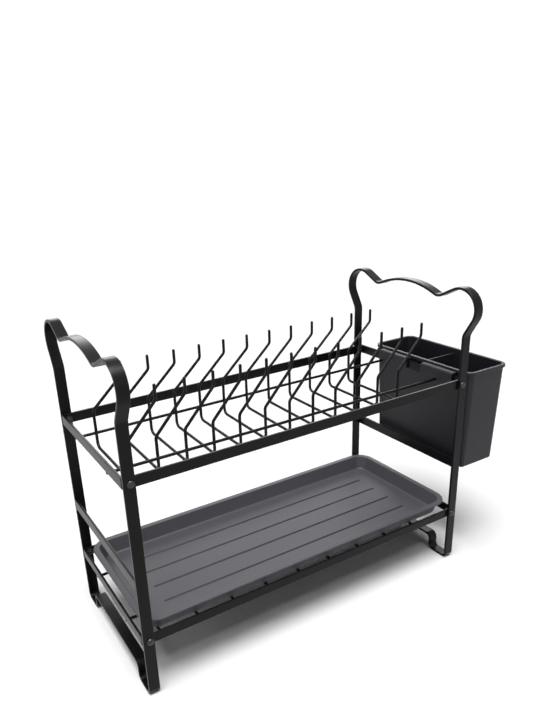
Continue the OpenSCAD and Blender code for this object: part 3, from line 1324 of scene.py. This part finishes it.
@dataclass
class DripTray:
    """Moulded tray with a flat lip, leaning walls and four floor grooves.

    A fillet's inset is the share of its radius that its centre stands in from the wall's foot.
    """

    shop: Workshop
    wall: float = 2.0 * MM
    lip: float = 5.0 * MM
    lean: float = 6.0 * MM
    corner: float = 22.0 * MM
    lip_edge: float = 0.9 * MM
    inner_fillet: float = 3.0 * MM
    inner_fillet_inset: float = 0.72
    outer_fillet: float = 2.4 * MM
    outer_fillet_inset: float = 0.55
    under_lip_drop: float = 0.5 * MM
    under_lip_run: float = 0.4 * MM
    groove_pitch: float = 28.0 * MM
    groove_width: float = 3.0 * MM
    groove_depth: float = 0.8 * MM
    groove_end: float = 40.0 * MM
    groove_count: int = 4

    def __post_init__(self) -> None:
        """Takes the tray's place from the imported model."""
        self.low, self.high = span("drip_tray")
        self.centre = (self.low + self.high) / 2

    def stations(self) -> list[tuple[float, float]]:
        """Inset from the lip's edge and height above the base of each ring.

        Returns:
            The stations from the underside round the lip to the floor.
        """
        height = self.high.z - self.low.z
        foot = self.lip + self.lean
        slope = math.degrees(math.atan2(height, self.lean))
        r, f, e = self.outer_fillet, self.inner_fillet, self.lip_edge
        wall_side = 180 + (90 - slope)
        outer_centre = (foot + r * self.outer_fillet_inset, r)
        inner_centre = (foot + self.wall + f * self.inner_fillet_inset, self.wall + f)
        under = height - self.wall
        return [
            *arc(outer_centre, r, 270, wall_side),
            (self.lip + self.under_lip_drop, under - self.under_lip_drop),
            (self.lip - self.under_lip_run, under),
            *arc((e, under + e), e, 270, 180),
            *arc((e, height - e), e, 180, 90),
            *arc((self.lip + self.wall - e, height - e), e, 90, 0),
            *arc(inner_centre, f, wall_side, 270, steps=6),
        ]

    def groove_cutter(self) -> bpy.types.Mesh:
        """Builds the round-ended bar whose underside leaves one groove."""
        half_w, depth = self.groove_width / 2, self.groove_depth
        radius = (half_w**2 + depth**2) / (2 * depth)
        reach = (self.high.x - self.low.x) / 2 - self.groove_end
        profile = [
            *arc((0.0, -reach), radius, -90, 0, steps=6),
            *arc((0.0, reach), radius, 0, 90, steps=6),
        ]
        mesh = turned("groove_cutter", profile, steps=36)
        mesh.transform(Matrix.Rotation(math.pi / 2, 4, "Z"))
        mesh.transform(Matrix.Translation((0.0, 0.0, radius - depth)))
        return mesh

    def build(self) -> bpy.types.Object:
        """Builds the tray as one piece."""
        first = Vector((self.centre.x, self.centre.y, self.low.z + self.wall))
        first.y -= (self.groove_count - 1) / 2 * self.groove_pitch
        name = "drip_tray_moulded"
        piece = self.shop.recipes.cut(
            name,
            moulded_shell(name, self.low, self.high, self.corner, self.stations()),
            self.shop.finishes.tray,
            self.groove_cutter(),
            first=first,
            count=self.groove_count,
            step=(0.0, self.groove_pitch, 0.0),
        )
        return settle(shade(piece, sharp_degrees=28.0), TRAY, ["drip_tray"])


@dataclass
class CutleryCup:
    """Moulded cup with two compartments, drain slots, ribs and two hooks.

    A fillet's inset is the share of its radius that its centre stands in from the wall's foot.
    """

    shop: Workshop
    gap: float = 5.0 * MM
    wall: float = 2.0 * MM
    lean: float = 4.5 * MM
    corner: float = 9.0 * MM
    rim_out: float = 2.0 * MM
    rim_height: float = 4.0 * MM
    rim_edge: float = 0.8 * MM
    fillet: float = 3.0 * MM
    fillet_inset: float = 0.97
    rib_height: float = 2.0 * MM
    rib_width: float = 3.0 * MM
    rib_sink: float = 0.3 * MM
    bar_edge: float = 0.5 * MM
    slot_width: float = 3.0 * MM
    drain_slots: int = 6
    divider_drop: float = 6.0 * MM
    divider_corner: float = 0.2 * MM
    divider_edge_share: float = 0.35
    hook_width: float = 50.0 * MM
    hook_gap: float = 24.0 * MM
    hook_thickness: float = 3.0 * MM
    hook_drop: float = 10.0 * MM
    hook_bend: float = 2.0 * MM
    hook_edge: float = 0.6 * MM
    hook_root_share: float = 0.8
    rest_gap: float = 0.3 * MM

    def __post_init__(self) -> None:
        """Takes the cup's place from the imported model."""
        low, high = span("cutlery_cup")
        self.hook_x = low.x
        rail_side = span("right_side_frame")[1].x
        self.rail = span("upper_shelf_rim")[1]
        self.low = Vector((rail_side + self.gap, low.y + self.rim_out, low.z))
        self.high = Vector((high.x - self.rim_out, high.y - self.rim_out, high.z))
        self.centre = (self.low + self.high) / 2

    def stations(self) -> list[tuple[float, float]]:
        """Inset from the top of the wall and height above the base of each ring.

        Returns:
            The stations from the underside round the rim to the floor.
        """
        height = self.high.z - self.low.z
        base = self.rib_height
        slope = math.degrees(math.atan2(height - base, self.lean))
        wall_side = 180 + (90 - slope)
        f, e, out = self.fillet, self.rim_edge, self.rim_out
        rim_foot = height - self.rim_height
        lean_at_rim = self.lean * self.rim_height / (height - base)
        inset = f * self.fillet_inset
        inner_foot = self.lean + self.wall + inset
        return [
            *arc((self.lean + inset, base + f), f, 270, wall_side, steps=5),
            (lean_at_rim, rim_foot),
            *arc((e - out, rim_foot + e), e, 270, 180, steps=3),
            *arc((e - out, height - e), e, 180, 90),
            *arc((self.wall - e, height - e), e, 90, 0),
            *arc((inner_foot, base + self.wall + f), f, wall_side, 270, steps=5),
        ]

    def slot_pitch(self) -> float:
        """Distance from one drain slot to the next."""
        half_length = (self.high.y - self.low.y) / 2 - self.lean - self.wall
        return half_length / self.drain_slots

    def bar(
        self, name: str, length: float, width: float, z_low: float, z_high: float
    ) -> bpy.types.Mesh:
        """A bar along X with round ends, centred on X and Y.

        Args:
            name: the mesh's name.
            length: its length.
            width: its width.
            z_low: its underside.
            z_high: its top.

        Returns:
            The mesh.
        """
        half_x, half_y = length / 2, width / 2
        edge = min(self.bar_edge, (z_high - z_low) / 4)
        rings = [
            rounded_rectangle(half_x - ease, half_y - ease, half_y - ease, z, Vector(ZERO), 4)
            for z, ease in ((z_low, edge), (z_low + edge, 0), (z_high - edge, 0), (z_high, edge))
        ]
        return lofted(name, rings)

    def body(self) -> bpy.types.Object:
        """Builds the cup with its drain slots cut out."""
        width = self.high.x - self.low.x - 2 * self.corner
        floor = self.low.z + self.rib_height
        cutter = self.bar("slot_cutter", width, self.slot_width, -self.wall, 2 * self.wall)
        pitch = self.slot_pitch()
        half = pitch * self.drain_slots
        name = "cutlery_cup_moulded"
        piece = self.shop.recipes.cut(
            name,
            moulded_shell(name, self.low, self.high, self.corner, self.stations()),
            self.shop.finishes.cup,
            cutter,
            first=(self.centre.x, self.centre.y - half + pitch / 2, floor),
            count=self.drain_slots,
            step=(0.0, pitch, 0.0),
            rows=2,
            across=(0.0, half, 0.0),
        )
        return settle(shade(piece, sharp_degrees=28.0), CUP, ["cutlery_cup"])

    def ribs(self) -> bpy.types.Object:
        """Builds the ribs that the cup stands on."""
        width = self.high.x - self.low.x - 2 * self.corner
        pitch = self.slot_pitch()
        count = 2 * self.drain_slots - 1
        first = (self.centre.x, self.centre.y - pitch * (self.drain_slots - 1), self.low.z)
        piece = self.shop.recipes.grid.make(
            "cutlery_cup_ribs",
            self.bar("rib", width, self.rib_width, 0.0, self.rib_height + self.rib_sink),
            self.shop.finishes.cup,
            First_Place=first,
            Row_Count=count,
            Row_Step=(0.0, pitch, 0.0),
            Column_Count=1,
            Column_Step=ZERO,
        )
        return settle(shade(piece), CUP, [])

    def hook(self, number: int) -> bpy.types.Object:
        """Builds one hook over the rail.

        Args:
            number: 0 for the front hook, 1 for the rear one.

        Returns:
            The hook.
        """
        half = self.hook_thickness / 2
        x = self.hook_x + half
        z = self.rail.z + self.rest_gap + half
        side = -1 if number == 0 else 1
        y = self.centre.y + side * (self.hook_gap + self.hook_width) / 2
        drop = self.rail.z + self.rest_gap - self.hook_drop
        root = self.low.x + self.wall * self.hook_root_share
        corners = [(root, y, z), (x, y, z), (x, y, drop)]
        piece = self.shop.recipes.strip.make(
            f"cutlery_cup_hook_{number + 1}",
            polyline(corners),
            self.shop.finishes.cup,
            Strip_Width=self.hook_width,
            Strip_Thickness=self.hook_thickness,
            Edge_Radius=self.hook_edge,
            Bend_Radius=self.hook_bend,
            Width_Axis=Axis.Y.value,
        )
        return settle(shade(piece), CUP, [])

    def divider(self) -> bpy.types.Object:
        """Builds the plate between the two compartments."""
        top = self.high.z - self.divider_drop
        floor = self.low.z + self.rib_height + self.wall / 2
        height = self.high.z - self.low.z - self.rib_height
        half_x = (self.high.x - self.low.x) / 2 - self.wall / 2
        edge = self.wall * self.divider_edge_share
        rings = []
        for z, ease in ((floor, 0.0), (top - edge, 0.0), (top - edge / 3, edge / 3), (top, edge)):
            lean = self.lean * (self.high.z - z) / height
            half_y = self.wall / 2 - ease
            rings.append(
                rounded_rectangle(half_x - lean, half_y, self.divider_corner, z, self.centre, 2)
            )
        piece = in_scene("cutlery_cup_divider", lofted("cutlery_cup_divider", rings))
        piece.data.materials.append(self.shop.finishes.cup)
        return settle(shade(piece), CUP, [])

    def build(self) -> list[bpy.types.Object]:
        """Builds the cup's pieces."""
        return [self.body(), self.divider(), self.ribs(), self.hook(0), self.hook(1)]


@dataclass
class Fasteners:
    """Pan-head screws and hexagon nuts that hold the shelves to the legs."""

    shop: Workshop
    head_radius: float = 3.75 * MM
    head_height: float = 2.4 * MM
    crown_share: float = 0.9
    head_edge_share: float = 0.97
    shank_radius: float = 2.0 * MM
    shank_edge: float = 0.5 * MM
    shank_past_nut: float = 1.0 * MM
    nut_width: float = 7.0 * MM
    nut_height: float = 3.2 * MM
    nut_chamfer: float = 0.3 * MM
    nut_face_share: float = 0.93
    recess_width: float = 1.0 * MM
    recess_length: float = 4.0 * MM
    recess_depth: float = 1.2 * MM
    recess_taper: float = 0.72
    recess_lead: float = 1.0 * MM

    def __post_init__(self) -> None:
        """Takes the screws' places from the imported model."""
        self.screws = ["upper_shelf_screws", "lower_shelf_screws"]
        self.nuts = ["upper_shelf_nuts", "lower_shelf_nuts"]
        low, high = span(self.screws[1])
        upper_low = span(self.screws[0])[0]
        self.head_y = low.y
        self.nut_y = span(self.nuts[0])[0].y
        self.side_x = (high.x - low.x) / 2 - self.head_radius
        self.centre = Vector(((low.x + high.x) / 2, (low.y + high.y) / 2, (low.z + high.z) / 2))
        self.rise = upper_low.z - low.z

    def screw(self) -> bpy.types.Mesh:
        """Builds a screw that points along +Y from its head's outer face."""
        r, h, s = self.head_radius, self.head_height, self.shank_radius
        edge = self.shank_edge
        crown = [
            (r * math.sin(math.radians(a)), self.crown_share * h * (1 - math.cos(math.radians(a))))
            for a in range(0, 91, 9)
        ]
        tail = self.nut_y + self.nut_height - self.head_y + self.shank_past_nut
        return turned(
            "screw",
            [
                *crown,
                (r, self.head_edge_share * h),
                (self.head_edge_share * r, h),
                (s, h),
                (s, tail - edge),
                (s - edge, tail),
                (0.0, tail),
            ],
        )

    def recess_cutter(self) -> bpy.types.Mesh:
        """Builds the cross that is cut into a screw's head."""
        cross = bmesh.new()
        half_w, half_l = self.recess_width / 2, self.recess_length / 2
        taper = self.recess_taper
        for wide, high in ((half_l, half_w), (half_w, half_l)):
            outer = [(-wide, -high), (wide, -high), (wide, high), (-wide, high)]
            front = [cross.verts.new((x, -self.recess_lead, z)) for x, z in outer]
            back = [cross.verts.new((x * taper, self.recess_depth, z * taper)) for x, z in outer]
            cross.faces.new(front)
            cross.faces.new(list(reversed(back)))
            for i in range(4):
                j = (i + 1) % 4
                cross.faces.new((front[j], front[i], back[i], back[j]))
        bmesh.ops.recalc_face_normals(cross, faces=cross.faces[:])
        mesh = bpy.data.meshes.new("recess_cutter")
        cross.to_mesh(mesh)
        cross.free()
        return mesh

    def nut(self) -> bpy.types.Mesh:
        """Builds a nut that points along +Y from the rail, with chamfered corners."""
        across = self.nut_width / 2 / math.cos(math.pi / 6)
        profile = (
            (0.0, self.nut_face_share),
            (self.nut_chamfer, 1.0),
            (self.nut_height - self.nut_chamfer, 1.0),
            (self.nut_height, self.nut_face_share),
        )
        rings = []
        for along, share in profile:
            ring = []
            for i in range(24):
                angle = 2 * math.pi * i / 24
                to_flat = math.cos((angle % (math.pi / 3)) - math.pi / 6)
                radius = min(self.nut_width / 2 / to_flat, across * share)
                ring.append(Vector((radius * math.sin(angle), along, radius * math.cos(angle))))
            rings.append(ring)
        return lofted("nut", rings)

    def at_corners(
        self, name: str, shape: bpy.types.Mesh, depth: float, nodes: Sequence[str]
    ) -> bpy.types.Object:
        """Puts a fastener at every corner of both shelves.

        Args:
            name: the piece's name.
            shape: the fastener.
            depth: how far behind the screw heads' outer faces it starts.
            nodes: the CAD nodes that it stands for.

        Returns:
            The fasteners as one piece.
        """
        piece = self.shop.recipes.corners.make(
            name,
            shape,
            self.shop.finishes.screws,
            Rack_Middle=tuple(self.centre),
            Left_Front=(-self.side_x, self.head_y - self.centre.y + depth, 0.0),
            Side_Spacing=(2 * self.side_x, 0.0, 0.0),
            Shelf_Count=2,
            Shelf_Spacing=(0.0, 0.0, self.rise),
        )
        return settle(shade(piece, sharp_degrees=30.0), RACK, nodes)

    def build(self) -> list[bpy.types.Object]:
        """Builds the screws and the nuts."""
        crossed = self.shop.recipes.cut(
            "screw_with_recess", self.screw(), self.shop.finishes.screws, self.recess_cutter()
        )
        shape = crossed.data
        bpy.data.objects.remove(crossed)
        screws = self.at_corners("shelf_screws", shape, 0.0, self.screws)
        nuts = self.at_corners("shelf_nuts", self.nut(), self.nut_y - self.head_y, self.nuts)
        return [screws, nuts]


# ---------------------------------------------------------------------------------------
# Studio


@dataclass(frozen=True)
class SoftBox:
    """A rectangular studio light that faces a point on the rack."""

    name: str
    place: tuple[float, float, float]
    size: tuple[float, float]
    watts: float
    aim: tuple[float, float, float] = (0.0, 0.0, 0.15)
    only_mirrored: bool = False

    def build(self) -> bpy.types.Object:
        """Builds the light."""
        data = bpy.data.lights.new(self.name, "AREA")
        data.shape = "RECTANGLE"
        data.size, data.size_y = self.size
        data.energy = self.watts
        lamp = in_scene(self.name, data)
        lamp.location = self.place
        look = Vector(self.aim) - Vector(self.place)
        lamp.rotation_euler = look.to_track_quat("-Z", "Y").to_euler()
        lamp.visible_diffuse = not self.only_mirrored
        return lamp


@dataclass(frozen=True)
class SkyPanel:
    """Very wide, very soft light from overhead, even over the whole floor."""

    strength: float = 3.75
    spread_degrees: float = 35.0
    tilt_degrees: tuple[float, float, float] = (9.0, -8.0, 0.0)

    def build(self) -> bpy.types.Object:
        """Builds the light."""
        data = bpy.data.lights.new("overhead", "SUN")
        data.energy = self.strength
        data.angle = math.radians(self.spread_degrees)
        lamp = in_scene("overhead", data)
        lamp.rotation_euler = [math.radians(a) for a in self.tilt_degrees]
        return lamp


@dataclass(frozen=True)
class Viewpoint:
    """The camera: standing place, the way it looks and its lens."""

    place: tuple[float, float, float] = (-0.39432, -0.56702, 0.49771)
    azimuth: float = 29.94
    downward: float = 21.77
    roll: float = -2.715
    lens: float = 32.13
    shift_x: float = 0.0348
    shift_y: float = 0.0642

    def build(self) -> bpy.types.Object:
        """Builds the camera and makes it the scene's."""
        azimuth, down, roll = (
            math.radians(a) for a in (self.azimuth, self.downward, self.roll)
        )
        forward = Vector(
            (
                math.sin(azimuth) * math.cos(down),
                math.cos(azimuth) * math.cos(down),
                -math.sin(down),
            )
        )
        level = Vector((math.cos(azimuth), -math.sin(azimuth), 0.0))
        rise = level.cross(forward)
        right = level * math.cos(roll) + rise * math.sin(roll)
        up = rise * math.cos(roll) - level * math.sin(roll)
        turn = Matrix((right, up, -forward)).transposed()
        data = bpy.data.cameras.new("camera")
        data.lens = self.lens
        data.shift_x, data.shift_y = self.shift_x, self.shift_y
        data.clip_start, data.clip_end = 0.01, 50.0
        camera = in_scene("camera", data)
        camera.matrix_world = Matrix.Translation(self.place) @ turn.to_4x4()
        bpy.context.scene.camera = camera
        return camera


@dataclass
class Studio:
    """White floor, soft lights, pale surroundings and the camera."""

    floor_half: float = 24.0
    surroundings: float = 0.03
    mirrored: float = 0.9
    seen: float = 1.1

    def floor(self) -> None:
        """Builds the floor that the rack stands on."""
        half = self.floor_half
        mesh = bpy.data.meshes.new("floor")
        corners = [(-half, -half, 0.0), (half, -half, 0.0), (half, half, 0.0), (-half, half, 0.0)]
        mesh.from_pydata(corners, [], [(0, 1, 2, 3)])
        mesh.materials.append(StudioFloor().material())
        in_scene("floor", mesh)

    def world(self) -> None:
        """White surroundings, dimmer as light than they look."""
        world = bpy.data.worlds.new("studio")
        bpy.context.scene.world = world
        world.use_nodes = True
        tree = world.node_tree
        tree.nodes.clear()
        ray = add_node(tree, "ShaderNodeLightPath", {}, {})
        lit = add_node(
            tree,
            "ShaderNodeMapRange",
            {},
            {
                "Value": ray.outputs["Is Glossy Ray"],
                "To Min": self.surroundings,
                "To Max": self.mirrored,
            },
        )
        strength = add_node(
            tree,
            "ShaderNodeMapRange",
            {},
            {
                "Value": ray.outputs["Is Camera Ray"],
                "To Min": lit.outputs["Result"],
                "To Max": self.seen,
            },
        )
        light = add_node(
            tree,
            "ShaderNodeBackground",
            {},
            {"Color": (1.0, 1.0, 1.0, 1.0), "Strength": strength.outputs["Result"]},
        )
        add_node(tree, "ShaderNodeOutputWorld", {}, {"Surface": light.outputs["Background"]})

    def build(self) -> None:
        """Builds the studio."""
        self.floor()
        self.world()
        SkyPanel().build()
        SoftBox("left_side", (-1.9, -0.2, 0.8), (1.2, 1.3), 7.0).build()
        SoftBox("front_fill", (0.3, -2.1, 1.2), (1.6, 1.0), 2.5).build()
        SoftBox("backdrop", (1.2, 2.3, 1.25), (3.0, 1.2), 44.0, only_mirrored=True).build()
        SoftBox("top_glint", (-0.25, -0.35, 1.7), (0.5, 0.5), 45.0, only_mirrored=True).build()
        Viewpoint().build()
        bpy.context.scene.view_settings.view_transform = "Standard"


def main() -> None:
    """Builds the rack and the studio, in order."""
    logging.basicConfig(level=logging.INFO, format="%(message)s")
    shop = Workshop()
    assemblies = [
        SideFrame(shop, "left_side_frame"),
        SideFrame(shop, "right_side_frame"),
        Rails(shop),
        WireShelf(shop),
        DripTray(shop),
        CutleryCup(shop),
        Fasteners(shop),
    ]
    for assembly in assemblies:
        assembly.build()
    Studio().build()


if __name__ == "__main__":
    main()
